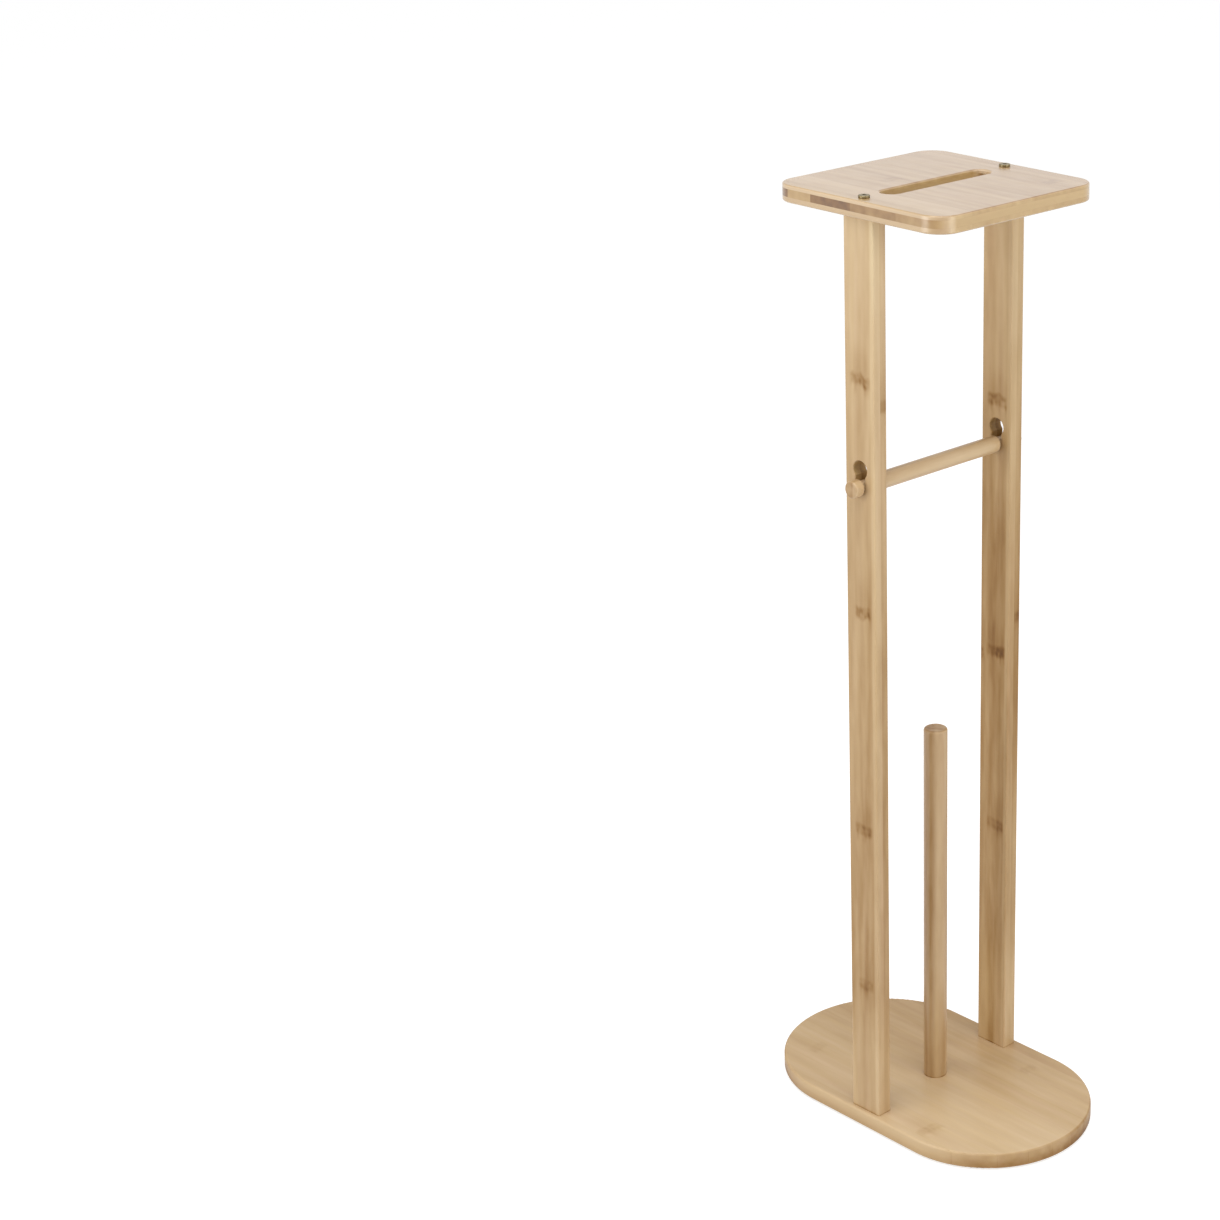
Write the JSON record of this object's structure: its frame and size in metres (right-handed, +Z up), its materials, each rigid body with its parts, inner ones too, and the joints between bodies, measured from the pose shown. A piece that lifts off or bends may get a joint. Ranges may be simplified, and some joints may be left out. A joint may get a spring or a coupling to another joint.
{
  "type": "toilet paper stand",
  "caption": "Free-standing bamboo toilet paper stand: oval base plate, flat uprights with keyholes for a lift-out roll rod, spare-roll post and a slotted top shelf.",
  "frame": {"origin": "on the floor, in the middle of the stand, level with the undersides of its foot pads", "axes": "+Z up along the spare-roll post, +X from the left upright to the right upright along the roll rod, +Y from the front to the back along the base plate"},
  "size_m": [0.1904, 0.3, 0.802],
  "materials": {
    "bamboo_board": "satin clear lacquer over laminated bamboo strips",
    "bamboo_shelf": "satin clear lacquer over three-ply bamboo",
    "bamboo_turned": "satin clear lacquer over turned bamboo",
    "dowel_wood": "bare hardwood",
    "screw_metal": "dark bronze plating on steel",
    "foot_pad": "matt non-slip foam rubber"
  },
  "bodies": {
    "stand": {"base_plate": "bamboo_board", "left_upright": "bamboo_board", "right_upright": "bamboo_board", "top_shelf": "bamboo_shelf", "spare_roll_post": "bamboo_turned", "shelf_screw_left": "screw_metal", "shelf_screw_right": "screw_metal", "base_screw_left": "screw_metal", "base_screw_right": "screw_metal", "post_screw": "screw_metal", "shelf_dowel_left_front": "dowel_wood", "shelf_dowel_left_back": "dowel_wood", "shelf_dowel_right_front": "dowel_wood", "shelf_dowel_right_back": "dowel_wood", "base_dowel_left_front": "dowel_wood", "base_dowel_left_back": "dowel_wood", "base_dowel_right_front": "dowel_wood", "base_dowel_right_back": "dowel_wood", "foot_left_front": "foot_pad", "foot_left_back": "foot_pad", "foot_right_front": "foot_pad", "foot_right_back": "foot_pad"},
    "roll_rod": {"roll_rod": "bamboo_turned"}
  },
  "joints": [
    {"name": "rod_lift", "type": "slide", "parent": "stand", "child": "roll_rod", "axis": [0, 0, 1], "range_m": [0, 0.01615]}
  ]
}
